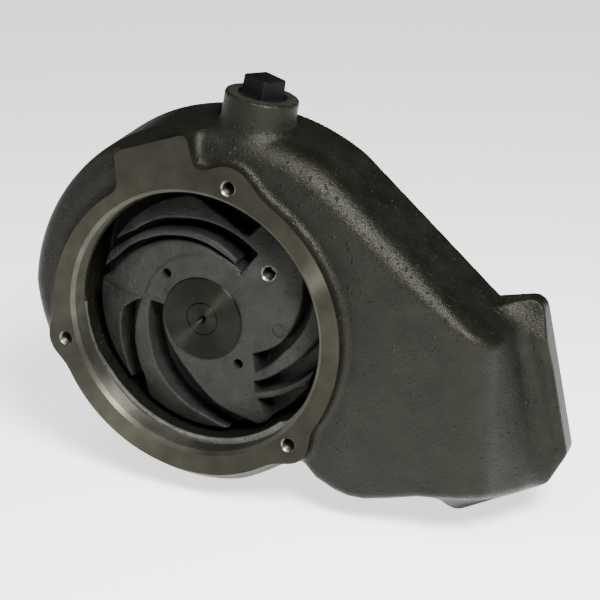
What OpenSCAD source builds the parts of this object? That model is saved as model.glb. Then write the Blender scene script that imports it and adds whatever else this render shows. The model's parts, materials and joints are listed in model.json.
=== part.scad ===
// Gear-driven engine water pump with a scroll housing.
// The shaft lies along Y. The open inlet ring faces -Y and the drive gear is at +Y.
// The origin is on the shaft axis, in the plane of the rear face that bolts to the engine.
// Outlines in the X-Z plane are drawn as seen from the inlet side, X to the right, Z up.

/* [Inlet ring] */
// Distance from the engine face to the inlet ring face
body_depth = 68; // [64:1:72]
// Diameter of the machined inlet bore
bore_d = 181; // [178:1:182]
// Outside diameter of the raised inlet ring
ring_d = 210; // [208:1:212]
// Height of the inlet ring above the cast front face
ring_step = 8; // [6:1:9]
// Bolt circle of the three front cover holes
cover_pcd = 202; // [200:0.5:204]
// Radius of a front cover hole
cover_hole_r = 4.25; // [3.4:0.05:4.4]

/* [Engine side] */
// Bolt circle of the tapped holes in the engine face
engine_pcd = 200; // [196:1:202]
// Radius of an engine face hole
engine_hole_r = 4.25; // [3.4:0.05:4.4]
// Radius of the round pilot that enters the engine
pilot_r = 79; // [78:0.5:79.5]

/* [Outlet] */
// Bolt circle of the four outlet flange holes
outlet_pcd = 108; // [106:1:110]
// Radius of an outlet flange hole
outlet_hole_r = 4.25; // [3.4:0.05:4.4]
// Width of the outlet port
port_w = 54; // [48:1:54]
// Height of the outlet port
port_h = 64; // [56:1:64]

/* [Impeller] */
// Radius over the impeller blades
impeller_r = 83; // [80:0.5:83.5]
// Radius of the machined impeller hub disc
hub_r = 29; // [28:0.5:29.5]

/* [Shaft and bearings] */
// Shaft radius in the impeller and in the gear
shaft_end_r = 11; // [10.5:0.1:11.2]
// Shaft radius in the bearings
shaft_r = 12.5; // [12.2:0.1:12.6]
// Number of balls in each bearing
ball_count = 8; // [7:1:9]
// Teeth on the drive gear
gear_teeth = 30; // [24:2:36]

/* [Hidden] */

$fn = 96;
eps = 0.01;                      // clean cut-through allowance
gap = 0.02;                      // clearance between parts that only touch
run = 0.05;                      // running clearance, per side

ring_y = -body_depth;            // plane of the inlet ring face
cast_y = ring_y + ring_step;     // cast front face around the ring
bore_r = bore_d / 2;
bore_end_y = ring_y + 14.5;      // where the machined bore opens into the scroll
face_chamfer = 2.5;
back_wall_y = -12;               // inner face of the scroll's back wall
shoulder_y = cast_y + 13;        // where the rounded front shoulder reaches the side wall

// The scroll runs clockwise from the tongue to the straight outlet wall.
tongue_angle = -50;
scroll_sweep = 262;
// Outer wall radius against sweep from the tongue
scroll_wall = [[0, 111], [50, 112], [90, 117], [115, 126.5], [135, 132], [190, 135],
               [215, 136.5], [240, 140.5], [262, 146.5]];
// Passage radius against sweep from the tongue
scroll_passage = [[0, 86.5], [96, 88.5], [108, 93.5], [130, 96], [190, 108], [240, 127],
                  [262, 136.5]];

cover_angles = [73.5, 193.5, 313.5];
ear_r = 13;

// Outlet elbow and flange
elbow_x = 172;                   // where the front face starts to curve back
elbow_z = -86;
elbow_tilt = -14.8;
elbow_r = 52;
elbow_wall = 8;
flange_front_y = -6;
flange_y = 8;                    // outlet sealing face
port_x = 180;
port_z = -50;
port_tilt = 13.6;

// Boss and pipe plug on top of the scroll
boss_x = 35.7;
boss_y = -30;
boss_z = 150.5;                  // centre of the boss's top face
boss_lean = 11;
boss_r = 24.1;
plug_r = 15;
plug_square = 20.2;
plug_turn = 67.5;
plug_head_h = 11.5;

// Axial stations behind the engine face
spigot_r = 62;
flange_back_y = 14.8;
gasket_t = 0.8;
barrel_r = 42;
barrel_end_y = 88;
bearing_r = 31;
bearing_w = 17;
front_bearing_y = 25;
rear_bearing_y = 63;
bearings_end_y = rear_bearing_y + bearing_w;
collar_r = 15;                    // shaft collar in front of the front bearing
seal_bore_r = 20;
hub_face_y = ring_y + 15;      // machined impeller hub, flush with the shaft end
backplate_y = ring_y + 38;
backplate_t = 6;
hub_back_y = -18;
gear_y = 88;
gear_w = 26;
bolt_pcd = 138;
bolt_angles = [22.5:45:337.5];
dowel_angles = [0, 180];
engine_angles = [0:60:300];
outlet_angles = [58.6:90:328.6];
weep_plug_z = 104.6;
weep_y = -6;                      // weep drilling through the scroll's back wall

housing_paint = [0.25, 0.25, 0.23];
bare_iron = [0.36, 0.36, 0.34];
steel = [0.62, 0.62, 0.63];
rubber = [0.07, 0.07, 0.07];

// ---- helpers ----

function polar(r, a) = [r * cos(a), r * sin(a)];

// Outline between two radius tables, from angle a0 to a1
function band(a0, a1, inner, outer, step = 5) =
    let (n = ceil((a1 - a0) / step))
    concat([for (i = [0:n]) let (a = a0 + (a1 - a0) * i / n) polar(lookup(a, outer), a)],
           [for (i = [n:-1:0]) let (a = a0 + (a1 - a0) * i / n) polar(lookup(a, inner), a)]);

// Scroll outline from the tongue clockwise, for a radius table over sweep
function scroll(radii, step = 6) =
    [for (s = [0:step:scroll_sweep + step - 1])
        let (t = min(s, scroll_sweep)) polar(lookup(t, radii), tongue_angle - t)];

// Polygon corner [x, z, r] turned into an arc of four points
function arc_corner(before, at, after) =
    let (u = [before.x - at.x, before.y - at.y] / norm([before.x - at.x, before.y - at.y]),
         v = [after.x - at.x, after.y - at.y] / norm([after.x - at.x, after.y - at.y]),
         half = acos(u * v) / 2,
         c = [at.x, at.y] + (u + v) / norm(u + v) * at.z / sin(half),
         a = [at.x, at.y] + u * at.z / tan(half) - c,
         b = [at.x, at.y] + v * at.z / tan(half) - c)
    [for (i = [0:3]) let (m = a * (3 - i) + b * i) c + m / norm(m) * at.z];

function rounded(p) =
    [for (i = [0:len(p) - 1])
        for (q = arc_corner(p[(i + len(p) - 1) % len(p)], p[i], p[(i + 1) % len(p)])) q];

// Extrude an X-Z outline between two planes of Y
module slab(y0, y1) {
    translate([0, y1, 0]) rotate([90, 0, 0]) linear_extrude(y1 - y0) children();
}

// Solid of revolution about the shaft axis, from [r, y] points
module spun(points) {
    rotate([-90, 0, 0]) rotate_extrude() polygon(points);
}

module rod(r, y0, y1) {
    translate([0, y0, 0]) rotate([-90, 0, 0]) cylinder(r = r, h = y1 - y0);
}

module tube(outer, inner, y0, y1) {
    difference() {
        rod(outer, y0, y1);
        rod(inner, y0 - eps, y1 + eps);
    }
}

// Children placed on a circle in the X-Z plane, at each angle
module on_circle(r, angles) {
    for (a = angles) translate([r * cos(a), 0, r * sin(a)]) children();
}

// ---- volute housing ----

body_outline = concat(scroll(scroll_wall), [[189, 26.5], [214, 9], [236, -78], [226, -91],
                      [172, -97], [156, -99], [136, -104.5], [119, -108.5], [108, -108.5],
                      [98, -106], [84, -99]]);
passage_outline = concat(scroll(scroll_passage), [[184, 15], [203, 0], [222, -76], [210, -84],
                         [150, -88], [112, -96], [94, -90], [78, -75], [68, -62]]);
pad_outline = [[-51, 80], [-53, 111], [-49, 114], [-4, 128.5], [0, 127], [2, 119], [4.5, 109],
               [10, 105], [10, 90]];
flange_outline = rounded([[130, 15, 12], [220, 33, 9], [243, -73, 9], [231, -96.5, 8],
                          [168, -131, 12], [118, -103, 12]]);

// The outlet elbow limits the body at the right; its bend leans over with the flange
module elbow_limit(front_y, r) {
    back_y = 30;
    translate([elbow_x, 0, elbow_z]) rotate([0, elbow_tilt, 0]) translate([0, 0, -200])
        linear_extrude(500) polygon(concat(
            [[-500, back_y], [-500, front_y - 5], [0, front_y - 5]],
            [for (a = [0:7.5:90]) [r * sin(a), front_y + r * (1 - cos(a))]],
            [[r, back_y]]));
}

module housing_shoulder() {
    inset = 11;
    wide = [for (p = scroll(scroll_wall)) p * (1 - 0.3 / norm(p))];
    narrow = [for (p = wide) p * (1 - inset / norm(p))];
    hull() {
        slab(cast_y, cast_y + 1)
            polygon(concat(narrow, [[181, 17.5], [206, 1], [150, -60]]));
        slab(shoulder_y, shoulder_y + 2)
            polygon(concat(wide, [[188.7, 26], [213.7, 8.7], [150, -60]]));
    }
}

module housing_body() {
    intersection() {
        union() {
            slab(shoulder_y, 0) polygon(body_outline);
            housing_shoulder();
            slab(cast_y, shoulder_y + 3)
                polygon([[60, -75], [84, -94], [98, -101], [108, -104], [119, -104], [150, -96],
                         [172, -93], [224, -88], [232, -78], [206, -3], [150, 20], [60, 60]]);
        }
        elbow_limit(cast_y, elbow_r);
    }
}

module housing_ring() {
    rod(ring_d / 2, ring_y, cast_y + 2);
    slab(ring_y, cast_y + 2) polygon(pad_outline);
    on_circle(cover_pcd / 2, cover_angles) rod(ear_r, ring_y, cast_y + 4);
}

module housing_boss() {
    translate([boss_x, boss_y, boss_z]) rotate([0, boss_lean, 0]) {
        translate([0, 0, -28]) cylinder(r = boss_r, h = 26);
        translate([0, 0, -2]) cylinder(r1 = boss_r, r2 = boss_r - 2, h = 2);
    }
}

module housing_passage() {
    intersection() {
        slab(bore_end_y - 0.5, back_wall_y) polygon(passage_outline);
        elbow_limit(cast_y + elbow_wall, elbow_r - elbow_wall);
    }
    translate([port_x, 0, port_z]) rotate([0, port_tilt, 0]) translate([-port_x, 0, -port_z])
        slab(back_wall_y - 8, flange_y + eps)
            polygon(rounded([for (s = [[1, 1], [1, -1], [-1, -1], [-1, 1]])
                [port_x + s.x * port_w / 2, port_z + s.y * port_h / 2, 12]]));
}

module cover_holes(r, depth) {
    on_circle(cover_pcd / 2, cover_angles) rod(r, ring_y - eps, ring_y + depth);
}

module volute_housing() color(housing_paint) difference() {
    union() {
        housing_body();
        housing_ring();
        housing_boss();
        slab(flange_front_y, flange_y) polygon(flange_outline);
    }
    housing_passage();
    rod(bore_r, ring_y - eps, bore_end_y);
    spun([[0, ring_y - 1], [bore_r + face_chamfer + 1, ring_y - 1], [bore_r, ring_y + face_chamfer],
          [0, ring_y + face_chamfer]]);
    rod(spigot_r, back_wall_y - eps, eps);
    cover_holes(cover_hole_r, 15);
    on_circle(engine_pcd / 2, engine_angles) rod(engine_hole_r, -10, eps);
    on_circle(bolt_pcd / 2, bolt_angles) rod(3.4, -10, eps);
    on_circle(bolt_pcd / 2, dowel_angles) rod(3, -8, eps);
    translate([port_x, 0, port_z]) on_circle(outlet_pcd / 2, outlet_angles)
        rod(outlet_hole_r, flange_y - 13, flange_y + eps);
    translate([boss_x, boss_y, boss_z]) rotate([0, boss_lean, 0])
        translate([0, 0, -38]) cylinder(r = plug_r, h = 39);
    translate([0, weep_y, -130]) cylinder(r = 2, h = 70, $fn = 32);
    translate([0, weep_y, -130]) cylinder(r = 3, h = 130 - weep_plug_z, $fn = 32);
}

module pipe_plug() color([0.13, 0.13, 0.13]) {
    translate([boss_x, boss_y, boss_z]) rotate([0, boss_lean, 0]) union() {
        translate([0, 0, -20]) cylinder(r = plug_r - gap, h = 21);
        rotate([0, 0, plug_turn]) difference() {
            translate([-plug_square / 2, -plug_square / 2, 1 - eps])
                cube([plug_square, plug_square, plug_head_h - 1]);
            for (a = [0:90:270]) rotate([0, 0, 45 + a])
                translate([plug_square / sqrt(2) - 1, -5, 0]) cube([5, 10, plug_head_h + 1]);
        }
    }
}

// ---- bearing housing and its fasteners ----

module bearing_housing() color(bare_iron) difference() {
    spun([[seal_bore_r, back_wall_y], [spigot_r - run, back_wall_y], [spigot_r - run, gasket_t],
          [pilot_r, gasket_t], [pilot_r, 7.2], [pilot_r - 2.9, 7.2], [pilot_r - 2.9, 10.8],
          [pilot_r, 10.8], [pilot_r, flange_back_y - 1], [pilot_r - 1, flange_back_y],
          [barrel_r + 6, flange_back_y], [barrel_r, flange_back_y + 8], [barrel_r, barrel_end_y],
          [bearing_r, barrel_end_y], [bearing_r, 82.3], [bearing_r + 1.5, 82.3],
          [bearing_r + 1.5, 80.2], [bearing_r, 80.2], [bearing_r, front_bearing_y],
          [26, front_bearing_y], [26, 23], [21, 23], [21, 15], [seal_bore_r, 15]]);
    on_circle(bolt_pcd / 2, bolt_angles) rod(4.3, gasket_t - eps, flange_back_y + eps);
    on_circle(bolt_pcd / 2, dowel_angles) rod(3, gasket_t - eps, gasket_t + 6);
    // The weep drilling slopes forward from the space between the two seals
    translate([0, 10, 1 - seal_bore_r]) rotate([160, 0, 0]) cylinder(r = 2, h = 48, $fn = 32);
}

module housing_gasket() color([0.33, 0.30, 0.22]) difference() {
    tube(pilot_r - 1.5, spigot_r + 0.4, gap, gasket_t - gap);
    on_circle(bolt_pcd / 2, bolt_angles) rod(4.4, -eps, gasket_t + eps);
    on_circle(bolt_pcd / 2, dowel_angles) rod(3.2, -eps, gasket_t + eps);
}

module housing_bolts() color(steel) on_circle(bolt_pcd / 2, bolt_angles) union() {
    rod(3.4 - gap, -8, flange_back_y + 1);
    difference() {
        rod(6.5, flange_back_y + gap, flange_back_y + 8);
        translate([0, flange_back_y + 4, 0]) rotate([-90, 0, 0]) cylinder(r = 3.4, h = 5, $fn = 6);
    }
}

module dowel_pins() color(steel) on_circle(bolt_pcd / 2, dowel_angles)
    rod(3 - gap, -7, gasket_t + 5.5);

module weep_filter() color([0.55, 0.52, 0.44])
    translate([0, weep_y, -weep_plug_z - 6.5]) cylinder(r = 3 - gap, h = 6.5, $fn = 32);

module pilot_o_ring() color(rubber)
    rotate([-90, 0, 0]) translate([0, 0, 9]) rotate_extrude()
        translate([pilot_r - 2.9 + 1.42, 0]) circle(r = 1.4, $fn = 24);

// ---- seals ----

module seal_cup() color([0.72, 0.58, 0.30])
    spun([[seal_bore_r - gap, back_wall_y + 2], [seal_bore_r - gap, 6], [14, 6], [14, 5],
          [seal_bore_r - 1, 5], [seal_bore_r - 1, back_wall_y + 2]]);

module seal_bellows() color(rubber)
    spun([[15.5, 4.95], [18.9, 4.95], [18.9, 3.8], [16.6, 3.8], [16.6, -8], [18.6, -8], [18.6, -9.5],
          [15.5, -9.5]]);

module seal_spring() {
    turns = 3.5;
    steps = 20;
    wire_r = 0.9;
    front_y = -7.05;
    back_y = 2.85;
    color(steel) for (i = [0:turns * steps - 1]) hull() for (k = [i, i + 1])
        rotate([0, k * 360 / steps, 0])
            translate([17.75, front_y + (back_y - front_y) * k / (turns * steps), 0])
                cylinder(r = wire_r, h = 0.05, $fn = 8);
}

module seal_carbon_face() color([0.16, 0.16, 0.17])
    spun([[13.2, -13.1], [16.5, -13.1], [16.5, -11.3], [18.6, -11.3], [18.6, -9.6], [13.2, -9.6]]);

module seal_seat() color([0.86, 0.84, 0.78]) tube(18, shaft_r + 1.5, -16.8, -13.15);

module seal_seat_boot() color(rubber)
    spun([[shaft_r + gap, -17.95], [19.5, -17.95], [19.5, -14], [18 + gap, -14],
          [18 + gap, -16.8 - gap], [shaft_r + 1.5 - gap, -16.8 - gap], [shaft_r + 1.5 - gap, -13.4],
          [shaft_r + gap, -13.4]]);

module oil_seal_case() color(steel)
    spun([[21 - gap, 15.2], [21 - gap, 22.8], [20, 22.8], [20, 16.2], [15.5, 16.2], [15.5, 15.2]]);

module oil_seal_lip() color(rubber)
    spun([[shaft_r + run, 19.4], [13.6, 18.4], [14.2, 16.25], [19.9, 16.25], [19.9, 17.6],
          [15.6, 17.6], [15.2, 21], [13.4, 21]]);

module slinger() color([0.25, 0.25, 0.25]) tube(17, shaft_r + gap, 9, 11.5);

// ---- ball bearings ----

pitch_r = 21.75;
ball_r = 5.5;
groove_r = 5.65;

module outer_race(y) color(steel) difference() {
    tube(bearing_r - gap, 25.5, y, y + bearing_w);
    rotate([-90, 0, 0]) translate([0, 0, y + bearing_w / 2]) rotate_extrude()
        translate([pitch_r, 0]) circle(r = groove_r);
}

module inner_race(y) color(steel) difference() {
    tube(18, shaft_r + gap, y, y + bearing_w);
    rotate([-90, 0, 0]) translate([0, 0, y + bearing_w / 2]) rotate_extrude()
        translate([pitch_r, 0]) circle(r = groove_r);
}

module balls(y) color([0.8, 0.8, 0.82])
    on_circle(pitch_r, [0:360 / ball_count:359]) translate([0, y + bearing_w / 2, 0])
        sphere(r = ball_r, $fn = 40);

// Ring with a round pocket bored through it for each ball
module cage(y) color([0.70, 0.55, 0.28]) difference() {
    tube(22.9, 20.5, y + 1.5, y + bearing_w - 1.5);
    for (a = [0:360 / ball_count:359]) translate([0, y + bearing_w / 2, 0]) rotate([0, a, 0])
        rotate([0, 90, 0]) translate([0, 0, 15]) cylinder(r = ball_r + run, h = 15);
}

module front_bearing_outer_race() outer_race(front_bearing_y);
module front_bearing_inner_race() inner_race(front_bearing_y);
module front_bearing_balls() balls(front_bearing_y);
module front_bearing_cage() cage(front_bearing_y);
module rear_bearing_outer_race() outer_race(rear_bearing_y);
module rear_bearing_inner_race() inner_race(rear_bearing_y);
module rear_bearing_balls() balls(rear_bearing_y);
module rear_bearing_cage() cage(rear_bearing_y);

module bearing_spacer() color(steel)
    tube(16, shaft_r + gap, front_bearing_y + bearing_w + gap, rear_bearing_y - gap);

module snap_ring() color([0.2, 0.2, 0.2]) difference() {
    tube(bearing_r + 1.4, bearing_r - 3, 80.3, 82.2);
    translate([-4, 80, -40]) cube([8, 3, 40]);
}

// ---- shaft and gear ----

module key_slot(margin) {
    translate([-3 - margin, 91, 7.5 - margin]) cube([6 + 2 * margin, 18, 6 + 2 * margin]);
}

module shaft() color(steel) difference() {
    spun([[0, hub_face_y], [shaft_end_r, hub_face_y], [shaft_end_r, hub_back_y],
          [shaft_r, hub_back_y], [shaft_r, front_bearing_y - 1.7],
          [collar_r, front_bearing_y - 1.7], [collar_r, front_bearing_y - gap],
          [shaft_r, front_bearing_y - gap], [shaft_r, bearings_end_y - 0.5],
          [shaft_end_r, bearings_end_y - 0.5], [shaft_end_r, 111], [10, 112], [10, 131], [9, 132],
          [0, 132]]);
    spun([[0, hub_face_y - 1], [3.4, hub_face_y - 1], [3.4, hub_face_y], [1.6, hub_face_y + 3],
          [1.6, hub_face_y + 7], [0, hub_face_y + 8]]);
    key_slot(gap);
}

module gear_key() color([0.45, 0.45, 0.46]) key_slot(0);

// Tooth profile: root, flank, tip and flank again, for each tooth
module drive_gear() {
    module_mm = 90 / gear_teeth;
    root = 45 - 1.25 * module_mm;
    tip = 45 + module_mm;
    pitch = 360 / gear_teeth;
    teeth = [for (i = [0:gear_teeth - 1])
        for (q = [[root, -0.36], [45, -0.24], [tip, -0.12], [tip, 0.12], [45, 0.24], [root, 0.36]])
            polar(q[0], (i + q[1]) * pitch)];
    color([0.48, 0.47, 0.45]) difference() {
        union() {
            slab(gear_y + 2, gear_y + gear_w - 2) polygon(teeth);
            rod(17.5, bearings_end_y + gap, gear_y + gear_w - 2);
        }
        for (y = [gear_y + 1.9, gear_y + gear_w - 8])
            tube(36, 20, y, y + 6.1);
        rod(shaft_end_r + gap, bearings_end_y - 1, gear_y + gear_w + 1);
        translate([-3 - gap, bearings_end_y - 1, 7.5])
            cube([6 + 2 * gap, gear_w + 12, 6 + gap]);
    }
}

module gear_washer() color(steel)
    tube(18, 10 + 0.2, gear_y + gear_w - 1.9, gear_y + gear_w + 1.1);

module gear_nut() color([0.4, 0.4, 0.42]) difference() {
    translate([0, gear_y + gear_w + 1.15, 0]) rotate([-90, 0, 0])
        cylinder(r = 17.3, h = 14, $fn = 6);
    rod(10 + gap, gear_y, 140);
}

// ---- impeller ----

// Blade outlines as radius tables over angle, seen from the inlet
cut_r = impeller_r + 3;           // blades run past the rim and are turned down to it
rim = [[0, cut_r], [400, cut_r]];
core = [[0, hub_r - 2], [400, hub_r - 2]];

right_lobe = [[-36, 38.5], [-26, 43.5], [-10, 57], [0, 63.5], [15, 73], [26, 79], [33, cut_r]];
upper_blade_in = [[50, 64], [75, 65.9], [101, 68.5], [117, 72], [135, 75.2], [152, cut_r - 1]];
upper_blade_out = [[50, cut_r], [58, cut_r], [62, 68], [72, 70.5], [86, 76.5],
                   [100, cut_r]];
second_blade_in = [[59, 47.5], [74, 49.7], [97, 55.4], [112, 59.2], [131, 65.4], [155, 75.6],
                   [166, cut_r - 1]];
second_blade_out = [[59, 51], [82, 56.6], [92, 59], [111, 63], [128, 69.4], [146, 76.7],
                    [160, cut_r]];
left_lobe = [[52, 46.5], [74, 47.2], [86, 49.6], [97, 52], [112, 55.5], [131, 61], [144, 66.5],
             [155, 70.5], [165, 76], [170, cut_r]];
left_blade_in = [[170, 46], [182, 62], [199, 69.2], [214, 76.3], [226, cut_r - 1]];
middle_blade_in = [[164, 39.5], [181, 41.8], [195, 43.4], [213, 47.9], [240, 59.9], [268, 73.9],
                   [283, cut_r - 1]];
middle_blade_out = [[164, 47.5], [171, 47.5], [192, 53.6], [211, 61.8], [227, 71.5], [236, cut_r]];
lower_lobe = [[161, 30], [207, 32.6], [227, 35], [241, 38.3], [256, 44], [269, 53.2], [278, 62.2],
              [291, 75.6], [297, cut_r], [301, cut_r], [306, 66], [312, 55], [326, 45],
              [334, 39]];
lower_blade_in = [[303, 58], [316, 66.1], [331, 76.3], [344, cut_r - 1]];
lower_blade_out = [[303, 63.5], [312.5, 69.9], [327, 79.1], [333, cut_r]];
right_blade_in = [[306, 45.8], [326, 52.4], [344, 59.8], [357, 68.7], [372, 78.4],
                  [383, cut_r - 1]];
right_blade_out = [[306, 50], [314, 55.2], [333, 64.4], [351, 76.9], [362, cut_r]];

collar = [[0, 44.5], [400, 44.5]];  // raised step round the hub, on the side without channels

module blade_outlines() {
    polygon(band(-36, 51, core, right_lobe));
    polygon(band(50, 152, upper_blade_in, upper_blade_out));
    polygon(band(59, 166, second_blade_in, second_blade_out));
    polygon(band(52, 170, core, left_lobe));
    polygon(band(170, 226, left_blade_in, rim));
    polygon(band(164, 283, middle_blade_in, middle_blade_out));
    polygon(band(161, 334, core, lower_lobe));
    polygon(band(303, 344, lower_blade_in, lower_blade_out));
    polygon(band(306, 383, right_blade_in, right_blade_out));
}

module impeller() color([0.30, 0.31, 0.33]) {
    lobe_y = ring_y + 16.5;
    difference() {
        union() {
            intersection() {
                union() {
                    slab(lobe_y - 1, backplate_y + 1) blade_outlines();
                    rod(cut_r + 2, backplate_y, backplate_y + backplate_t + 1);
                }
                spun([[0, lobe_y], [60, lobe_y], [impeller_r, lobe_y + 8],
                      [impeller_r, backplate_y + backplate_t], [0, backplate_y + backplate_t]]);
            }
            slab(lobe_y - 0.7, backplate_y + 1) polygon(band(45, 165, core, collar));
            rod(hub_r, hub_face_y, backplate_y + 1);
            rod(25, backplate_y, hub_back_y - gap);
        }
        rod(shaft_end_r, hub_face_y - 1, hub_back_y + 1);
        on_circle(38.6, [132, 312]) rod(3.4, hub_face_y, hub_back_y);
        translate([48.6, 0, 38]) rod(4.3, lobe_y - 1, lobe_y + 15);
        translate([56, 0, -0.5]) rod(5, lobe_y - 1, lobe_y + 1.5);
    }
}

volute_housing();
pipe_plug();
bearing_housing();
housing_gasket();
housing_bolts();
dowel_pins();
weep_filter();
pilot_o_ring();
seal_cup();
seal_bellows();
seal_spring();
seal_carbon_face();
seal_seat();
seal_seat_boot();
oil_seal_case();
oil_seal_lip();
front_bearing_outer_race();
front_bearing_inner_race();
front_bearing_balls();
front_bearing_cage();
rear_bearing_outer_race();
rear_bearing_inner_race();
rear_bearing_balls();
rear_bearing_cage();
bearing_spacer();
snap_ring();
slinger();
shaft();
impeller();
drive_gear();
gear_key();
gear_washer();
gear_nut();
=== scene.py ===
import json
import math

import bmesh
import bpy
import numpy as np
from mathutils import Matrix, Vector


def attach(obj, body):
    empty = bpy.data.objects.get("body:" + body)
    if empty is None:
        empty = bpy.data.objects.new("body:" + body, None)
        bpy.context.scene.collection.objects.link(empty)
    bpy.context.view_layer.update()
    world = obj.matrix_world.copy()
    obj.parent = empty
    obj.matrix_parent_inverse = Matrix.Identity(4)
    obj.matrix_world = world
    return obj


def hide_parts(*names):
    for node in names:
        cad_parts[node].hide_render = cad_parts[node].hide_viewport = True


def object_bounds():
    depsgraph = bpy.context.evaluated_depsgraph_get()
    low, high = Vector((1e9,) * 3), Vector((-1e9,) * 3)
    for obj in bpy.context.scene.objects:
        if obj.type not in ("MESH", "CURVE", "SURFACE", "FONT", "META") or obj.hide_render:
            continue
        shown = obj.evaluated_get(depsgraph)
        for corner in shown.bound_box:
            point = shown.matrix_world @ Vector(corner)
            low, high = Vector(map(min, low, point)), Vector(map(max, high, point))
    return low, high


# Engine water pump: cast pieces with rounded edges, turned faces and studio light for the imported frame.
# Lengths are in millimetres until a mesh is made. X points to the outlet, Z up, and the open inlet faces -Y.

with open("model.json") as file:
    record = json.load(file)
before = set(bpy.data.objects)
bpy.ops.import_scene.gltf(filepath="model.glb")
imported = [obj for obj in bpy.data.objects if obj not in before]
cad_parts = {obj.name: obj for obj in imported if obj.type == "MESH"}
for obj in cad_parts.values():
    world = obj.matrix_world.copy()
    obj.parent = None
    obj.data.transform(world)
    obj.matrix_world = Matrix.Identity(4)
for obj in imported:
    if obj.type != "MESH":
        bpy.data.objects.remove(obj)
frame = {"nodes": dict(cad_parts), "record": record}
cad_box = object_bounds()

MM = 0.001

# ---- dimensions shared with the CAD ----

RING_Y = -68.0            # inlet ring face
CAST_Y = -60.0            # cast front face round the ring
BORE_R = 90.5
BORE_END_Y = -53.5
FACE_CHAMFER = 2.5
BACK_WALL_Y = -12.0
SPIGOT_R = 62.0
FLANGE_FRONT_Y = -6.0
FLANGE_Y = 8.0
COVER_R = 101.0
COVER_ANGLES = (73.5, 193.5, 313.5)
EAR_R = 12.5
EAR_BLENDS = (19, 12, 13)   # how softly each ear joins the ring
ENGINE_R = 100.0
OUTLET_R = 54.0
OUTLET_CENTRE = (180.0, -50.0)
OUTLET_ANGLES = (58.6, 148.6, 238.6, 328.6)
TAPPED_R = 4.25
BOSS_TOP = (35.7, -30.0, 150.5)
BOSS_LEAN = 11.0
BOSS_R = 24.1
BOSS_HEIGHT = 28.0
BOSS_FILLET = 6.0
PLUG_R = 15.0
TONGUE_ANGLE = -50.0
SCROLL_SWEEP = 262.0

SCROLL_WALL = ((0, 111), (50, 112), (90, 114.5), (103, 118), (115, 123.5), (135, 131.5), (190, 135),
               (215, 136.5), (240, 141.5), (262, 147.5))
SCROLL_PASSAGE = ((0, 86.5), (96, 88.5), (108, 91.5), (130, 94), (190, 108), (240, 127), (262, 136.5))
DUCT_OUTLINE = ((189.5, 27.5), (222, 3.8), (240, -70), (230, -91), (172, -97), (156, -99), (136, -104.5),
                (119, -108.5), (108, -108.5), (98, -106), (84, -99))
DUCT_PASSAGE = ((184, 15), (203, 0), (222, -76), (210, -84), (150, -88), (112, -96), (94, -90),
                (78, -75), (68, -62))
PAD_OUTLINE = ((-51, 80), (-53, 111), (-49, 114), (-4, 128), (0, 127), (2, 119), (4.5, 109), (10, 105),
               (10, 90))
FLANGE_CORNERS = ((130, 12.5, 12), (218.5, 30.5, 9), (241.5, -73.5, 9), (230, -96, 8), (168, -130, 12),
                  (118, -103, 12))

# Front edge radius of the casting against the angle round the shaft
EDGE_RADIUS = ((-180, 11), (-130, 7), (-50, 6), (-25, 6), (-4, 3), (6, 5), (12, 9), (20, 13), (50, 15),
               (100, 16), (140, 14), (180, 11))
# How far the side wall leans in between the back and the front, against the angle
DRAFT = ((-180, 1.5), (-150, 0), (-30, 0), (0, 6), (8, 8), (60, 8), (100, 7), (135, 5), (165, 2.5),
         (180, 1.5))
# Outer radius of the inlet ring against the angle, and how fast its side spreads with depth
RING_RADIUS = ((-180, 107), (-150, 107.5), (-80, 107), (-50, 105), (60, 105), (100, 103.5),
               (124, 101.5), (151, 103.5), (180, 107))
RING_SPREAD = ((-180, 0.5), (-150, 0.7), (-75, 0.7), (-45, 0.15), (120, 0.15), (180, 0.5))

# Inside of the elbow: a round bend along a line that leans with the outlet
BEND_AT = (172.0, -86.0)
BEND_LEAN = math.radians(14.8)
BEND_R = 44.0
BEND_Y = -8.0
# Outer side of the elbow: upright at the front, leaning with the flange at the foot
SIDE_X = 202.0
SIDE_Y = (-48.0, -12.0)
SIDE_SPREAD = ((-8, 4), (86, 25))        # how far the foot stands out, against depth below the axis
SIDE_RADIUS = ((-8, 17), (86, 12))       # front edge radius, against depth below the axis
FOOT_Y = -10.0
FOOT_FILLET = 9.0
FLANGE_FILLET = ((-30, 20), (-2, 18), (16, 9))   # fillet at the flange, against depth below the axis
FLANGE_EDGE = 1.2
# The duct's lower wall spreads to the flange from this depth on, fully so below FLARE_Z
FLARE_Y = -55.0
FLARE_Z = (-60.0, -80.0)
REAR_EDGE = 1.5
RING_FILLET = 5.0
PAD_FILLET = 5.0

IMPELLER_R = 83.0
HUB_R = 29.0
HUB_Y = -53.0
LOBE_Y = -51.5
PLATE_Y = (-30.0, -24.0)


# ---- distance fields ----

def lookup(angle, table):
    """Linear interpolation in a table of (angle, value)."""
    keys, values = zip(*table)
    return np.interp(angle, keys, values)


def polar(radius, degrees):
    """Point (x, z) at a radius and angle round the shaft."""
    a = np.radians(degrees)
    return np.stack([radius * np.cos(a), radius * np.sin(a)], axis=-1)


def scroll_outline(radii, rest, step=3.0):
    """Scroll curve run clockwise from the tongue, closed by the corner points of the duct."""
    sweep = np.arange(0, SCROLL_SWEEP + step / 2, step)
    curve = polar(lookup(sweep, radii), TONGUE_ANGLE - sweep)
    return np.vstack([curve, np.array(rest, float)])


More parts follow.
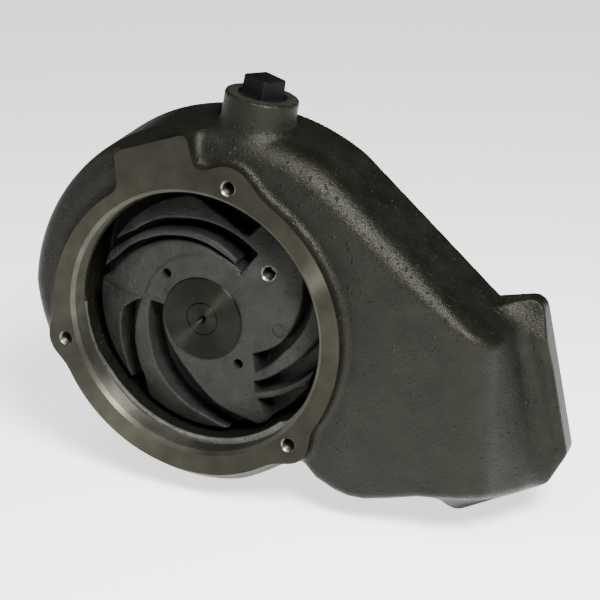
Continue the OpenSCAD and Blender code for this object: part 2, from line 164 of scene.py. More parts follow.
def rounded_corners(corners, steps=6):
    """Closed outline of (x, z, radius) corners with each corner turned into an arc."""
    points = []
    for i, (x, z, radius) in enumerate(corners):
        at = np.array([x, z], float)
        before = np.array(corners[i - 1][:2]) - at
        after = np.array(corners[(i + 1) % len(corners)][:2]) - at
        u = before / np.linalg.norm(before)
        v = after / np.linalg.norm(after)
        half = math.acos(float(u @ v)) / 2
        middle = (u + v) / np.linalg.norm(u + v)
        centre = at + middle * radius / math.sin(half)
        start = at + u * radius / math.tan(half) - centre
        end = at + v * radius / math.tan(half) - centre
        for k in range(steps):
            m = start * (steps - 1 - k) + end * k
            points.append(centre + m / np.linalg.norm(m) * radius)
    return np.array(points)


def outline_distance(points, x, z):
    """Signed distance from each (x, z) to a closed outline, negative inside."""
    nearest = np.full(x.shape, np.inf)
    inside = np.zeros(x.shape, bool)
    for (x0, z0), (x1, z1) in zip(points, np.roll(points, -1, axis=0)):
        dx, dz = x1 - x0, z1 - z0
        t = np.clip(((x - x0) * dx + (z - z0) * dz) / max(dx * dx + dz * dz, 1e-9), 0, 1)
        nearest = np.minimum(nearest, (x - x0 - t * dx) ** 2 + (z - z0 - t * dz) ** 2)
        if z0 != z1:
            inside ^= ((z0 > z) != (z1 > z)) & (x < x0 + (z - z0) * dx / dz)
    return np.where(inside, -1.0, 1.0) * np.sqrt(nearest)


def soft_union(a, b, blend):
    """Union of two distances with a fillet where they meet."""
    h = np.clip(0.5 + 0.5 * (b - a) / blend, 0, 1)
    return b + (a - b) * h - blend * h * (1 - h)


def soft_cut(a, b, blend):
    """a with b taken away, the edge softened."""
    return -soft_union(-a, b, blend)


def fillet_union(a, b, radius):
    """Union of two distances with a round fillet of the radius."""
    u = np.maximum(radius - a, 0)
    v = np.maximum(radius - b, 0)
    return np.maximum(np.minimum(a, b), radius) - np.hypot(u, v)


def rounded_meet(a, b, radius):
    """Intersection of two distances with a rounded edge."""
    u = a + radius
    v = b + radius
    return np.minimum(np.maximum(u, v), 0) + np.hypot(np.maximum(u, 0), np.maximum(v, 0)) - radius


class Grid:
    """Sample points of a box, as arrays that broadcast over (x, y, z)."""

    def __init__(self, low, high, step):
        self.low = np.array(low, float)
        self.step = step
        axes = [np.arange(a, b + step, step) for a, b in zip(low, high)]
        self.x = axes[0][:, None, None]
        self.y = axes[1][None, :, None]
        self.z = axes[2][None, None, :]
        self.radius = np.hypot(self.x, self.z)
        self.angle = np.degrees(np.arctan2(self.z, self.x))

    def outline(self, points):
        """Distance to an outline in the X-Z plane, the same at every depth."""
        x, z = np.meshgrid(self.x.ravel(), self.z.ravel(), indexing="ij")
        return outline_distance(points, x, z)[:, None, :]


def crossings(values, inside):
    """Sum and number of the points where the surface cuts the edges of each cell, in cell units."""
    shape = np.array(values.shape) - 1
    total = np.zeros((*shape, 3), np.float32)
    count = np.zeros(shape, np.uint8)
    cells = [slice(0, n) for n in shape]
    for axis in range(3):
        others = [k for k in range(3) if k != axis]
        for shift in ((0, 0), (0, 1), (1, 0), (1, 1)):
            start = list(cells)
            for k, d in zip(others, shift):
                start[k] = slice(d, shape[k] + d)
            end = list(start)
            end[axis] = slice(1, shape[axis] + 1)
            a, b = values[tuple(start)], values[tuple(end)]
            cut = np.nonzero(inside[tuple(start)] != inside[tuple(end)])
            point = np.zeros((len(cut[0]), 3), np.float32)
            point[:, axis] = a[cut] / (a[cut] - b[cut])
            point[:, others] = shift
            total[cut] += point
            count[cut] += 1
    return total, count


def cell_quads(inside, index):
    """One quad round every grid edge that the surface cuts, wound to face outward."""
    quads = []
    for axis in range(3):
        b_axis, c_axis = (axis + 1) % 3, (axis + 2) % 3
        low = [slice(None)] * 3
        low[axis] = slice(0, -1)
        high = [slice(None)] * 3
        high[axis] = slice(1, None)
        low_inside = inside[tuple(low)]
        where = np.array(np.nonzero(low_inside != inside[tuple(high)]))
        keep = (where[b_axis] > 0) & (where[c_axis] > 0)
        keep &= (where[b_axis] < index.shape[b_axis]) & (where[c_axis] < index.shape[c_axis])
        where = where[:, keep]
        ring = []
        for db, dc in ((-1, -1), (0, -1), (0, 0), (-1, 0)):
            cell = where.copy()
            cell[b_axis] += db
            cell[c_axis] += dc
            ring.append(index[tuple(cell)])
        quad = np.stack(ring, axis=1)
        inward = ~low_inside[tuple(where)]
        quad[inward] = quad[inward][:, ::-1]
        quads.append(quad)
    return np.vstack(quads)


def surface(values, grid):
    """Quad mesh of the zero level of sampled distances: one vertex per crossed cell."""
    values = values.astype(np.float32)
    inside = values < 0
    total, count = crossings(values, inside)
    used = np.nonzero(count)
    index = np.full(count.shape, -1, np.int64)
    index[used] = np.arange(len(used[0]))
    points = np.stack(used, axis=1) + total[used] / count[used][:, None]
    return points * grid.step + grid.low, cell_quads(inside, index).tolist()


# ---- mesh building ----

def link(name, mesh):
    """New object with the data, added to the scene."""
    obj = bpy.data.objects.new(name, mesh)
    bpy.context.scene.collection.objects.link(obj)
    return obj


def mesh_object(name, points, faces):
    """Object from points in millimetres and a list of faces."""
    mesh = bpy.data.meshes.new(name)
    mesh.from_pydata((np.asarray(points, float) * MM).tolist(), [], faces)
    mesh.update()
    return link(name, mesh)


def turned(profile, segments=192):
    """Points and faces of a closed [radius, y] profile turned about Y; radius 0 points close the ends."""
    angles = np.linspace(0, 2 * np.pi, segments, endpoint=False)
    points, rings = [], []
    for radius, y in profile:
        if radius < 1e-6:
            rings.append([len(points)] * segments)
            points.append((0.0, y, 0.0))
        else:
            rings.append(list(range(len(points), len(points) + segments)))
            points.extend((radius * math.cos(a), y, radius * math.sin(a)) for a in angles)
    faces = []
    for k in range(len(rings)):
        a, b = rings[k], rings[(k + 1) % len(rings)]
        if a[0] == a[1] and b[0] == b[1]:
            continue
        for i in range(segments):
            j = (i + 1) % segments
            face = [a[i], a[j], b[j], b[i]]
            faces.append([v for n, v in enumerate(face) if v not in face[:n]])
    return np.array(points), faces


def placed(part, at=(0, 0, 0), turn=None):
    """A (points, faces) part turned by a matrix and moved."""
    points, faces = part
    if turn is not None:
        points = points @ np.array(turn).T
    return points + np.array(at, float), faces


def joined(parts):
    """Several (points, faces) parts as one."""
    points, faces, start = [], [], 0
    for p, f in parts:
        points.append(p)
        faces.extend([[v + start for v in face] for face in f])
        start += len(p)
    return np.vstack(points), faces


def block(low, high):
    """Points and faces of an upright box."""
    (x0, y0, z0), (x1, y1, z1) = low, high
    points = np.array([(x, y, z) for x in (x0, x1) for y in (y0, y1) for z in (z0, z1)], float)
    faces = [[0, 1, 3, 2], [4, 6, 7, 5], [0, 4, 5, 1], [2, 3, 7, 6], [0, 2, 6, 4], [1, 5, 7, 3]]
    return points, faces


def outward(obj):
    """Make every face point outward."""
    bm = bmesh.new()
    bm.from_mesh(obj.data)
    bmesh.ops.recalc_face_normals(bm, faces=bm.faces)
    bm.to_mesh(obj.data)
    bm.free()
    return obj


def carve(obj, part, operation="DIFFERENCE"):
    """Boolean of obj with a closed part."""
    tool = outward(mesh_object("tool", *part))
    modifier = obj.modifiers.new("carve", "BOOLEAN")
    modifier.operation = operation
    modifier.solver = "MANIFOLD"
    modifier.object = tool
    settle(obj)
    bpy.data.objects.remove(tool)


def settle(obj):
    """Apply the modifiers of obj."""
    evaluated = obj.evaluated_get(bpy.context.evaluated_depsgraph_get())
    mesh = bpy.data.meshes.new_from_object(evaluated)
    obj.modifiers.clear()
    obj.data = mesh


def smooth_by_angle(obj, degrees=35):
    """Shade smooth, with edges sharper than the angle kept crisp."""
    mesh = obj.data
    mesh.shade_smooth()
    mesh.set_sharp_from_angle(angle=math.radians(degrees))


def face_data(mesh):
    """Centre in millimetres, normal, and distance from the shaft axis of every face."""
    centre = np.zeros(len(mesh.polygons) * 3, np.float32)
    normal = np.zeros_like(centre)
    mesh.polygons.foreach_get("center", centre)
    mesh.polygons.foreach_get("normal", normal)
    centre = centre.reshape(-1, 3) / MM
    return centre, normal.reshape(-1, 3), np.hypot(centre[:, 0], centre[:, 2])


def near_holes(centre, circle_r, angles, depths, middle=(0.0, 0.0)):
    """Faces inside any tapped hole of a bolt circle, between two depths."""
    found = np.zeros(len(centre), bool)
    for angle in angles:
        x, z = polar(circle_r, angle) + middle
        found |= np.hypot(centre[:, 0] - x, centre[:, 2] - z) < TAPPED_R + 0.9
    return found & (centre[:, 1] > depths[0]) & (centre[:, 1] < depths[1])


def use_slots(mesh, *chosen):
    """Give the faces of each mask the next material slot after the first."""
    slots = np.zeros(len(mesh.polygons), np.int32)
    for number, mask in enumerate(chosen, 1):
        slots[mask] = number
    mesh.polygons.foreach_set("material_index", slots)


def lean(degrees):
    """Matrix of a turn about Y, tipping +Z towards +X."""
    return Matrix.Rotation(math.radians(degrees), 3, "Y")


UPRIGHT = Matrix.Rotation(math.radians(90), 3, "X")      # turns +Y to +Z


def tapped_hole(y_face, inward, depth=15.0, radius=TAPPED_R, pitch=1.5):
    """Cutter for a threaded hole from a face at y, with a countersink and thread grooves."""
    groove = 0.45
    profile = [(0, y_face - inward * 2), (radius + 1.0 + 2, y_face - inward * 2),
               (radius + 1.0, y_face), (radius, y_face + inward * 1.0)]
    y = 1.2
    while y < depth - 2:
        profile.append((radius + groove, y_face + inward * (y + pitch / 2)))
        profile.append((radius, y_face + inward * (y + pitch)))
        y += pitch
    profile += [(radius, y_face + inward * depth), (0, y_face + inward * (depth + 2))]
    return turned(profile, 40)


def round_the_shaft(part, radius, angles, centre=(0.0, 0.0)):
    """Copies of a part on a circle."""
    return [placed(part, (centre[0] + radius * math.cos(math.radians(a)), 0,
                          centre[1] + radius * math.sin(math.radians(a)))) for a in angles]


# ---- volute housing ----

def elbow_front(g):
    """Front and outer side of the elbow, down to its foot on the flange."""
    below = -g.z
    slope = lookup(below, SIDE_SPREAD) / (SIDE_Y[1] - SIDE_Y[0])
    side = (g.x - SIDE_X - slope * (g.y - SIDE_Y[0])) / np.hypot(1, slope)
    front = rounded_meet(side, CAST_Y - g.y, lookup(below, SIDE_RADIUS))
    return fillet_union(front, FOOT_Y - g.y, FOOT_FILLET)


def scroll_and_flange(g):
    """Distances to the scroll with its duct, and to the flange plate."""
    plan = g.outline(scroll_outline(SCROLL_WALL, DUCT_OUTLINE))
    flange_plan = g.outline(rounded_corners(FLANGE_CORNERS))

    back = np.clip((g.y - FLARE_Y) / (FLANGE_FRONT_Y - FLARE_Y), 0, 1)
    low = np.clip((g.z - FLARE_Z[0]) / (FLARE_Z[1] - FLARE_Z[0]), 0, 1)
    flare = back * low * np.maximum(plan - flange_plan, 0)
    wall = plan + lookup(g.angle, DRAFT) * g.y / CAST_Y - flare
    body = rounded_meet(wall, elbow_front(g), lookup(g.angle, EDGE_RADIUS))

    flange = rounded_meet(flange_plan, np.maximum(FLANGE_FRONT_Y - g.y, g.y - FLANGE_Y), FLANGE_EDGE)
    footed = fillet_union(body, FLANGE_FRONT_Y - g.y, lookup(-g.z, FLANGE_FILLET))
    body = np.minimum(body, np.maximum(rounded_meet(flange_plan, footed, FLANGE_EDGE), g.y))
    return body, flange


def inlet_ring(g):
    """Ring with its three ears and the raised pad, standing in front of the scroll."""
    depth = np.clip(g.y - RING_Y, 0, 12)
    ring = g.radius - lookup(g.angle, RING_RADIUS) - lookup(g.angle, RING_SPREAD) * depth
    for angle, blend in zip(COVER_ANGLES, EAR_BLENDS):
        x, z = polar(COVER_R, angle)
        ring = soft_union(ring, np.hypot(g.x - x, g.z - z) - EAR_R - 0.12 * depth, blend)
    ring = soft_union(ring, g.outline(np.array(PAD_OUTLINE, float)) - 0.2 * depth, PAD_FILLET)
    return np.maximum(ring, np.maximum(RING_Y - 2 - g.y, g.y - CAST_Y - 6))


def plug_boss(g):
    """Leaning round boss that takes the pipe plug."""
    tilt = math.radians(BOSS_LEAN)
    dx, dy, dz = g.x - BOSS_TOP[0], g.y - BOSS_TOP[1], g.z - BOSS_TOP[2]
    height = dx * math.sin(tilt) + dz * math.cos(tilt)
    across = np.hypot(dx * math.cos(tilt) - dz * math.sin(tilt), dy)
    return rounded_meet(across - BOSS_R, np.maximum(height, -BOSS_HEIGHT - height), 1.5)


def water_space(g):
    """Scroll channel, duct and the raw opening behind the turned bore."""
    passage = g.outline(scroll_outline(SCROLL_PASSAGE, DUCT_PASSAGE))
    along = (g.x - BEND_AT[0]) * math.cos(BEND_LEAN) + (g.z - BEND_AT[1]) * math.sin(BEND_LEAN)
    bend = np.hypot(np.maximum(along, 0), np.maximum(BEND_Y - g.y, 0)) - BEND_R
    ends = np.maximum(BORE_END_Y + 0.3 - g.y, g.y - BACK_WALL_Y)
    hollow = rounded_meet(passage, np.maximum(bend, ends), 3)
    bore = np.maximum(g.radius - BORE_R + 1.5, g.y - BORE_END_Y - 0.3)
    throat = np.maximum(np.minimum(passage, g.radius - BORE_R + 6.5), g.radius - BORE_R + 1.5)
    throat = np.maximum(throat, g.y - BORE_END_Y - 6)
    return np.minimum(np.minimum(hollow, throat), bore)


def housing_distance(g):
    """Distance field of the raw casting, before machining."""
    body, flange = scroll_and_flange(g)
    body = soft_union(rounded_meet(body, g.y, REAR_EDGE), inlet_ring(g), RING_FILLET)
    body = fillet_union(np.minimum(body, flange), plug_boss(g), BOSS_FILLET)
    port = np.maximum(g.outline(port_outline()), BACK_WALL_Y - 1 - g.y)
    return soft_cut(soft_cut(body, water_space(g), 2), port, 1.5)


def port_outline():
    """Outlet port: a rounded rectangle that leans with the flange."""
    half_width, half_height, corner = 27, 32, 12
    tilt = math.radians(13.6)
    corners = []
    for sx, sz in ((1, 1), (1, -1), (-1, -1), (-1, 1)):
        x, z = sx * half_width, sz * half_height
        corners.append((OUTLET_CENTRE[0] + x * math.cos(tilt) + z * math.sin(tilt),
                        OUTLET_CENTRE[1] - x * math.sin(tilt) + z * math.cos(tilt), corner))
    return rounded_corners(corners)


def machine_housing(obj):
    """Cut the turned bores, faces and threaded holes into the casting."""
    carve(obj, block((-150, RING_Y - 8, -150), (150, RING_Y, 150)))
    bore = turned([(0, RING_Y - 1), (BORE_R + FACE_CHAMFER + 1, RING_Y - 1),
                   (BORE_R, RING_Y + FACE_CHAMFER), (BORE_R, BORE_END_Y), (0, BORE_END_Y)], 256)
    spigot = turned([(0, BACK_WALL_Y - 6), (SPIGOT_R, BACK_WALL_Y - 6), (SPIGOT_R, 1), (0, 1)], 192)
    boss_bore = placed(turned([(0, -40), (PLUG_R, -40), (PLUG_R, -1.2), (PLUG_R + 1.2, 0),
                               (PLUG_R + 1.2, 1), (0, 1)], 96),
                       BOSS_TOP, lean(BOSS_LEAN) @ UPRIGHT)
    cutters = [bore, spigot, boss_bore]
    cutters += round_the_shaft(tapped_hole(RING_Y, 1), COVER_R, COVER_ANGLES)
    cutters += round_the_shaft(tapped_hole(0, -1, 9), ENGINE_R, range(0, 360, 60))
    cutters += round_the_shaft(tapped_hole(FLANGE_Y, -1, 11), OUTLET_R,
                               OUTLET_ANGLES, OUTLET_CENTRE)
    carve(obj, joined(cutters))


def build_housing(step):
    """Cast body sampled on a grid, then machined."""
    g = Grid((-142, -71.3, -138), (252, 10.2, 160), step)
    obj = mesh_object("volute_casting", *surface(housing_distance(g), g))
    machine_housing(obj)
    smooth_by_angle(obj)
    return obj


def paint_housing(obj):
    """Own slots for the machined faces, the threads, the lip behind the bore (unpainted iron, kept to the
    lower half as a painted highlight) and the bore (a lighter turned iron as a painted highlight).
    """
    centre, normal, radius = face_data(obj.data)
    face = (np.abs(centre[:, 1] - RING_Y) < 0.05) & (normal[:, 1] < -0.99)
    # bore wall faces: they get a lighter turned iron as a painted highlight
    bore = (radius < BORE_R + FACE_CHAMFER + 0.1) & (radius > BORE_R - 0.6) & (centre[:, 1] < BORE_END_Y)
    back = (centre[:, 1] > -0.3) & (normal[:, 1] > 0.99)
    height = (centre - BOSS_TOP) @ np.array(lean(BOSS_LEAN).col[2])
    boss = (height > -0.15) & (np.hypot(centre[:, 0] - BOSS_TOP[0], centre[:, 1] - BOSS_TOP[1]) < BOSS_R)
    threads = near_holes(centre, COVER_R, COVER_ANGLES, (RING_Y + 0.3, RING_Y + 16))
    threads |= near_holes(centre, ENGINE_R, range(0, 360, 60), (-10, -0.3))
    threads |= near_holes(centre, OUTLET_R, OUTLET_ANGLES, (FLANGE_Y - 12, FLANGE_Y - 0.3),
                          OUTLET_CENTRE)
    # lip behind the bore, unpainted iron; the lighter material is kept to the lower half, where the light
    # falls, as a painted highlight
    lip = (radius < BORE_R + 0.2) & (radius > 80) & (np.abs(centre[:, 1] - BORE_END_Y) < 3) & (~bore)
    lip &= centre[:, 2] < 0
    use_slots(obj.data, face | back | boss, threads, lip, bore)


# ---- impeller ----

CUT_R = IMPELLER_R + 3
CORE = ((0, HUB_R - 2), (400, HUB_R - 2))
RIM = ((0, CUT_R), (400, CUT_R))
RIGHT_LOBE = ((-36, 38.5), (-26, 43.5), (-10, 57), (0, 63.5), (15, 73), (26, 79), (33, CUT_R))
UPPER_IN = ((50, 64), (75, 65.9), (101, 68.5), (117, 72), (135, 75.2), (152, CUT_R - 1))
UPPER_OUT = ((50, CUT_R), (58, CUT_R), (62, 68), (72, 70.5), (86, 76.5), (100, CUT_R))
SECOND_IN = ((59, 47.5), (74, 49.7), (97, 55.4), (112, 59.2), (131, 65.4), (155, 75.6), (166, CUT_R - 1))
SECOND_OUT = ((59, 51), (82, 56.6), (92, 59), (111, 63), (128, 69.4), (146, 76.7), (160, CUT_R))
LEFT_LOBE = ((52, 46.5), (74, 47.2), (86, 49.6), (97, 52), (112, 55.5), (131, 61), (144, 66.5),
             (155, 70.5), (165, 76), (170, CUT_R))
LEFT_IN = ((170, 46), (182, 62), (199, 69.2), (214, 76.3), (226, CUT_R - 1))
MIDDLE_IN = ((164, 39.5), (181, 41.8), (195, 43.4), (213, 47.9), (240, 59.9), (268, 73.9),
             (283, CUT_R - 1))
MIDDLE_OUT = ((164, 47.5), (171, 47.5), (192, 53.6), (211, 61.8), (227, 71.5), (236, CUT_R))
LOWER_LOBE = ((161, 30), (207, 32.6), (227, 35), (241, 38.3), (256, 44), (269, 53.2), (278, 62.2),
              (291, 75.6), (297, CUT_R), (301, CUT_R), (306, 66), (312, 55), (326, 45), (334, 39))
LOWER_IN = ((303, 58), (316, 66.1), (331, 76.3), (344, CUT_R - 1))
LOWER_OUT = ((303, 63.5), (312.5, 69.9), (327, 79.1), (333, CUT_R))
RIGHT_IN = ((306, 45.8), (326, 52.4), (344, 59.8), (357, 68.7), (372, 78.4), (383, CUT_R - 1))
RIGHT_OUT = ((306, 50), (314, 55.2), (333, 64.4), (351, 76.9), (362, CUT_R))
# Each band is (start angle, end angle, inner radii, outer radii)
BANDS = ((-36, 51, CORE, RIGHT_LOBE), (50, 152, UPPER_IN, UPPER_OUT), (59, 166, SECOND_IN, SECOND_OUT),
         (52, 170, CORE, LEFT_LOBE), (170, 226, LEFT_IN, RIM), (164, 283, MIDDLE_IN, MIDDLE_OUT),
         (161, 334, CORE, LOWER_LOBE), (303, 344, LOWER_IN, LOWER_OUT), (306, 383, RIGHT_IN, RIGHT_OUT))

PULLER_R = 38.6
PULLER_ANGLES = (132, 312)
THREAD_AT = (48.6, 38.0)
DIMPLE_AT = (56.0, -0.5)

# Raised step round the hub on the side without channels
COLLAR = (45, 165, CORE, ((0, 44.5), (400, 44.5)))


def band_outline(start, end, inner, outer, step=3.0):
    """Closed outline between two tables of radius against angle."""
    angles = np.linspace(start, end, int((end - start) / step) + 2)
    return np.vstack([polar(lookup(angles, outer), angles),
                      polar(lookup(angles, inner), angles)[::-1]])


def impeller_distance(g):
    """Distance field of the cast impeller."""
    plan = np.full((g.x.size, 1, g.z.size), np.inf)
    for band in BANDS:
        plan = np.minimum(plan, g.outline(band_outline(*band)))
    top = LOBE_Y + np.clip((g.radius - 58) / 25, 0, 1) ** 1.3 * 8
    blades = rounded_meet(plan, top - g.y, 1.6)
    blades = np.maximum(blades, g.y - PLATE_Y[0] - 2)
    plate = np.maximum(g.radius - IMPELLER_R, np.maximum(PLATE_Y[0] - g.y, g.y - PLATE_Y[1]))
    collar = g.outline(band_outline(*COLLAR))
    collar = rounded_meet(collar, np.maximum(LOBE_Y - 0.7 - g.y, g.y - PLATE_Y[0]), 0.6)
    body = soft_union(soft_union(blades, plate, 2.5), collar, 1)
    body = rounded_meet(body, g.radius - IMPELLER_R, 1)
    neck = np.maximum(g.radius - 25, np.maximum(PLATE_Y[0] - g.y, g.y + 18.2))
    return soft_union(body, neck, 4)


def build_impeller(step):
    """Cast blades and plate with a turned hub, a bore for the shaft and holes for a puller."""
    g = Grid((-85.3, -55.7, -85.3), (85.3, -16, 85.3), step)
    obj = mesh_object("impeller_casting", *surface(impeller_distance(g), g))
    hub = turned([(0, HUB_Y), (HUB_R - 0.8, HUB_Y), (HUB_R, HUB_Y + 0.8), (HUB_R, PLATE_Y[0]),
                  (0, PLATE_Y[0])], 160)
    carve(obj, hub, "UNION")
    bore = turned([(0, HUB_Y - 2), (11.6, HUB_Y - 2), (11.6, HUB_Y + 0.4), (11.02, HUB_Y + 1),
                   (11.02, -10), (0, -10)], 96)
    through = turned([(0, -60), (3.4, -60), (3.4, -15), (0, -15)], 32)
    puller = round_the_shaft(through, PULLER_R, PULLER_ANGLES)
    threaded = placed(tapped_hole(LOBE_Y, 1, 14), (THREAD_AT[0], 0, THREAD_AT[1]))
    dimple = placed(turned([(0, -60), (5, -60), (5, LOBE_Y + 1.2), (0, LOBE_Y + 2.4)], 40),
                    (DIMPLE_AT[0], 0, DIMPLE_AT[1]))
    carve(obj, joined([bore, threaded, dimple] + puller))
    smooth_by_angle(obj)
    return obj


def paint_impeller(obj):
    """Own slots for the turned end of the hub and the tapped hole."""
    centre, _, radius = face_data(obj.data)
    thread = np.hypot(centre[:, 0] - THREAD_AT[0], centre[:, 2] - THREAD_AT[1]) < TAPPED_R + 0.9
    use_slots(obj.data, (radius < HUB_R + 0.1) & (centre[:, 1] < LOBE_Y), thread)


# ---- shaft and plug ----

def build_shaft():
    """Shaft with ground bearing seats, a collar and a centre drilling at the front."""
    profile = [(0, HUB_Y + 8), (1.6, HUB_Y + 7), (1.6, HUB_Y + 3), (3.2, HUB_Y + 0.3), (3.5, HUB_Y),
               (10.6, HUB_Y), (11, HUB_Y + 0.5), (11, -18), (12.1, -18), (12.5, -17.5), (12.5, 23.3),
               (14.6, 23.3), (15, 23.7), (15, 24.98), (12.5, 24.98), (12.5, 79), (12, 79.5), (11, 79.5),
               (11, 111), (10, 112), (10, 131), (9, 132), (0, 132)]
    obj = outward(mesh_object("turned_shaft", *turned(profile, 96)))
    carve(obj, block((-3.02, 90.98, 7.48), (3.02, 109.02, 14)))
    smooth_by_angle(obj)
    return obj


def paint_shaft(obj):
    """Second material slot on the end that shows in the inlet."""
    centre, _, _ = face_data(obj.data)
    use_slots(obj.data, centre[:, 1] < HUB_Y + 8)


def build_plug():
    """Cast square-headed pipe plug."""
    half, height, turn = 10.1, 11.5, 67.5
    g = Grid((-17, -17, -21.3), (17, 17, 13.5), 0.6)
    c, s = math.cos(math.radians(turn)), math.sin(math.radians(turn))
    dx = np.abs(g.x * c + g.y * s)
    dy = np.abs(g.y * c - g.x * s)
    taper = 0.03 * (height - g.z)
    side = rounded_meet(dx - half - taper + 0.3, dy - half - taper + 0.3, 1.6)
    head = np.maximum(rounded_meet(side, g.z - height, 1.0), -6 - g.z)
    body = np.maximum(np.hypot(g.x, g.y) - PLUG_R + 0.1, np.maximum(g.z + 1.2, -20 - g.z))
    points, quads = surface(soft_union(head, body, 1.2), g)
    points = points @ np.array(lean(BOSS_LEAN)).T + np.array(BOSS_TOP)
    obj = mesh_object("square_plug", points, quads)
    smooth_by_angle(obj, 50)
    return obj


# ---- materials ----

def new_material(name, color, metallic, roughness, specular=0.5):
    """Material with a Principled shader; returns it with its nodes and links."""
    material = bpy.data.materials.new(name)
    material.use_nodes = True
    nodes, links = material.node_tree.nodes, material.node_tree.links
    shader = nodes["Principled BSDF"]
    shader.inputs["Base Color"].default_value = (*color, 1)
    shader.inputs["Metallic"].default_value = metallic
    shader.inputs["Roughness"].default_value = roughness
    shader.inputs["Specular IOR Level"].default_value = specular
    return material, nodes, links, shader


def object_coordinates(nodes):
    """Position on the piece itself, in metres."""
    return nodes.new("ShaderNodeTexCoord").outputs["Object"]


def noise(nodes, links, vector, scale, detail=4.0, roughness=0.6):
    """Noise texture of so many cells per metre."""
    node = nodes.new("ShaderNodeTexNoise")
    node.inputs["Scale"].default_value = scale
    node.inputs["Detail"].default_value = detail
    node.inputs["Roughness"].default_value = roughness
    links.new(vector, node.inputs["Vector"])
    return node.outputs["Fac"]


def color_ramp(nodes, links, factor, stops):
    """Colour blended between (position, colour) stops."""
    node = nodes.new("ShaderNodeValToRGB")
    ramp = node.color_ramp
    while len(ramp.elements) < len(stops):
        ramp.elements.new(0.5)
    for element, (position, color) in zip(ramp.elements, stops):
        element.position = position
        element.color = (*color, 1)
    links.new(factor, node.inputs["Fac"])
    return node.outputs["Color"]


def value_range(nodes, links, factor, low, high):
    """A 0 to 1 factor spread from low to high."""
    node = nodes.new("ShaderNodeMapRange")
    node.inputs["To Min"].default_value = low
    node.inputs["To Max"].default_value = high
    links.new(factor, node.inputs["Value"])
    return node.outputs["Result"]


def bump(nodes, links, shader, heights):
    """Chain of bump nodes from (height output, depth in metres, strength)."""
    previous = None
    for height, depth, strength in heights:
        node = nodes.new("ShaderNodeBump")
        node.inputs["Distance"].default_value = depth
        node.inputs["Strength"].default_value = strength
        links.new(height, node.inputs["Height"])
        if previous:
            links.new(previous, node.inputs["Normal"])
        previous = node.outputs["Normal"]
    links.new(previous, shader.inputs["Normal"])


def cast_material(name, dark, light, roughness, grain, specular=0.5):
    """Sand-cast iron under thin paint: mottled colour, fine grain and scattered warts."""
    material, nodes, links, shader = new_material(name, light, 0.0, roughness[0], specular)
    shader.inputs["Specular Tint"].default_value = (1.0, 0.99, 0.86, 1)
    where = object_coordinates(nodes)
    mottle = noise(nodes, links, where, 60, 6, 0.65)
    links.new(color_ramp(nodes, links, mottle, ((0.3, dark), (0.7, light))), shader.inputs["Base Color"])
    fine = noise(nodes, links, where, 1500, 2, 0.5)
    coarse = noise(nodes, links, where, 480, 3, 0.5)
    waves = noise(nodes, links, where, 45, 2, 0.5)
    warts = color_ramp(nodes, links, noise(nodes, links, where, 330, 1, 0.5),
                       ((0.66, (0, 0, 0)), (0.76, (1, 1, 1))))
    links.new(value_range(nodes, links, fine, *roughness), shader.inputs["Roughness"])
    bump(nodes, links, shader, ((waves, 0.0008, 0.5), (warts, 0.0005 * grain, 0.7),
                                (coarse, 0.0003 * grain, 0.7), (fine, 0.00022 * grain, 0.9)))
    return material


def turned_material(name, dark, light, roughness, metallic):
    """Lathe-turned iron: fine rings about the shaft and highlights stretched across them."""
    material, nodes, links, shader = new_material(name, light, metallic, roughness)
    shader.inputs["Anisotropic"].default_value = 0.9
    shader.inputs["Anisotropic Rotation"].default_value = 0.25
    where = object_coordinates(nodes)
    split = nodes.new("ShaderNodeSeparateXYZ")
    links.new(where, split.inputs["Vector"])
    flat = nodes.new("ShaderNodeCombineXYZ")
    links.new(split.outputs["X"], flat.inputs["X"])
    links.new(split.outputs["Z"], flat.inputs["Y"])
    length = nodes.new("ShaderNodeVectorMath")
    length.operation = "LENGTH"
    links.new(flat.outputs["Vector"], length.inputs[0])
    rings = nodes.new("ShaderNodeCombineXYZ")
    links.new(length.outputs["Value"], rings.inputs["X"])
    links.new(split.outputs["Y"], rings.inputs["Y"])
    groove = noise(nodes, links, rings.outputs["Vector"], 1400, 2, 0.5)
    stain = noise(nodes, links, where, 70, 5, 0.6)
    links.new(color_ramp(nodes, links, stain, ((0.3, dark), (0.7, light))), shader.inputs["Base Color"])
    tangent = nodes.new("ShaderNodeTangent")
    tangent.direction_type = "RADIAL"
    tangent.axis = "Y"
    links.new(tangent.outputs["Tangent"], shader.inputs["Tangent"])
    bump(nodes, links, shader, ((groove, 0.0002, 0.35),))
    return material


def plain_material(name, color, metallic, roughness, scale=300, depth=0.00015):
    """Steel, rubber and the like: an even colour with a faint surface texture."""
    material, nodes, links, shader = new_material(name, color, metallic, roughness)
    where = object_coordinates(nodes)
    grain = noise(nodes, links, where, scale, 3, 0.5)
    dark = tuple(c * 0.82 for c in color)
    links.new(color_ramp(nodes, links, grain, ((0.3, dark), (0.7, color))), shader.inputs["Base Color"])
    links.new(value_range(nodes, links, grain, roughness * 0.85, roughness * 1.15),
              shader.inputs["Roughness"])
    bump(nodes, links, shader, ((grain, depth, 0.5),))
    return material


